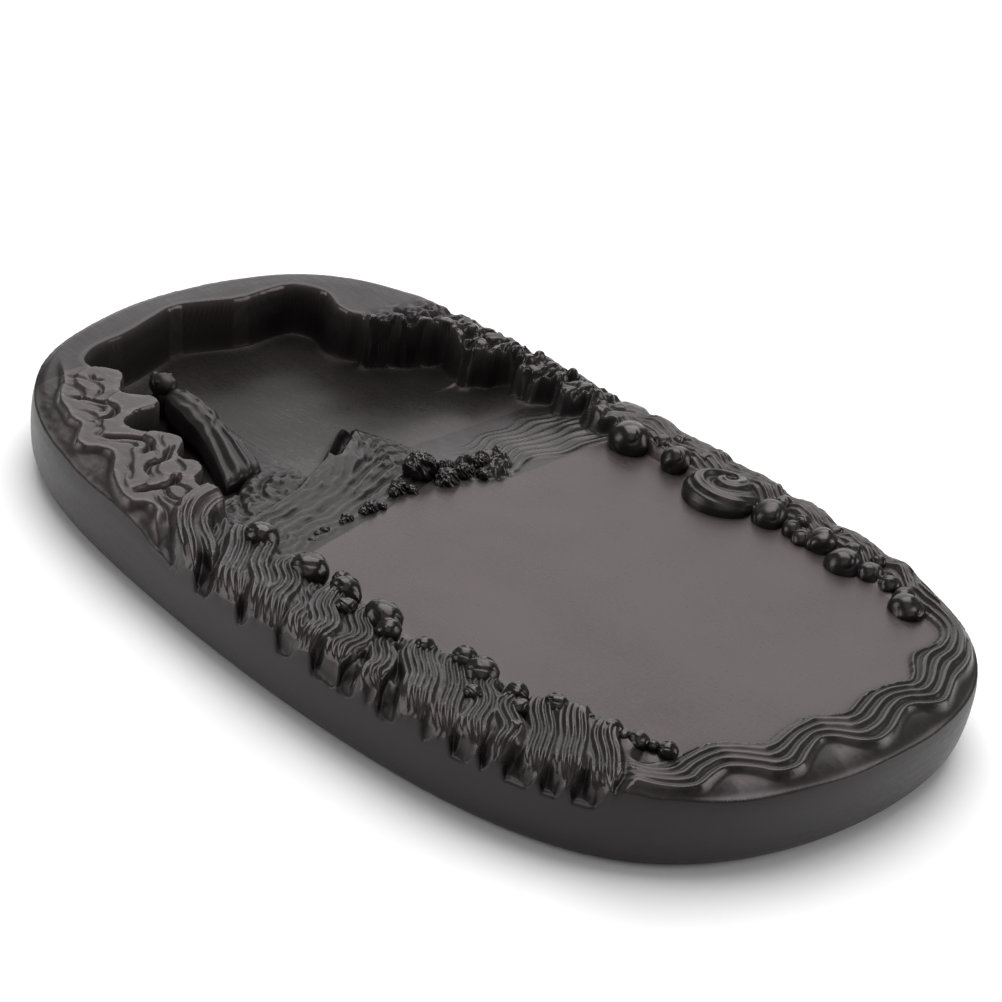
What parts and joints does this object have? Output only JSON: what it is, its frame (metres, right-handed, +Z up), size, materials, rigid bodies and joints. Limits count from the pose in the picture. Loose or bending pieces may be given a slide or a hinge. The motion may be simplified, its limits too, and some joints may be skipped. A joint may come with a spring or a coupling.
{
  "type": "inkstone",
  "caption": "Carved oval slab of dark stone with a grinding face, a sunken ink pool and a relief of waves, cliffs and a small robed figure; ink is ground and held on it.",
  "frame": {"origin": "middle of the flat underside, below the centre of the slab", "axes": "+Z up; Y along the length, +Y towards the ink pool, -Y towards the user; X across the width"},
  "size_m": [0.149, 0.25, 0.0244],
  "materials": {
    "polished_stone": "satin polished",
    "ground_stone": "fine matt, honed",
    "carved_stone": "hand carved, satin"
  },
  "bodies": {
    "root": {"stone_slab": "polished_stone", "grinding_face": "ground_stone", "pool_end_rim": "polished_stone", "near_cliffs": "carved_stone", "far_cliffs": "carved_stone", "far_wave_bank": "carved_stone", "ripple_end_band": "carved_stone", "near_wave_crests": "carved_stone", "far_foam_pearls": "carved_stone", "spiral_wave_curl": "carved_stone", "near_foam_pearls": "carved_stone", "dividing_rock": "carved_stone", "figure_bank": "carved_stone", "robed_figure": "carved_stone", "rock_foam": "carved_stone", "rippled_lip": "carved_stone"}
  },
  "joints": []
}
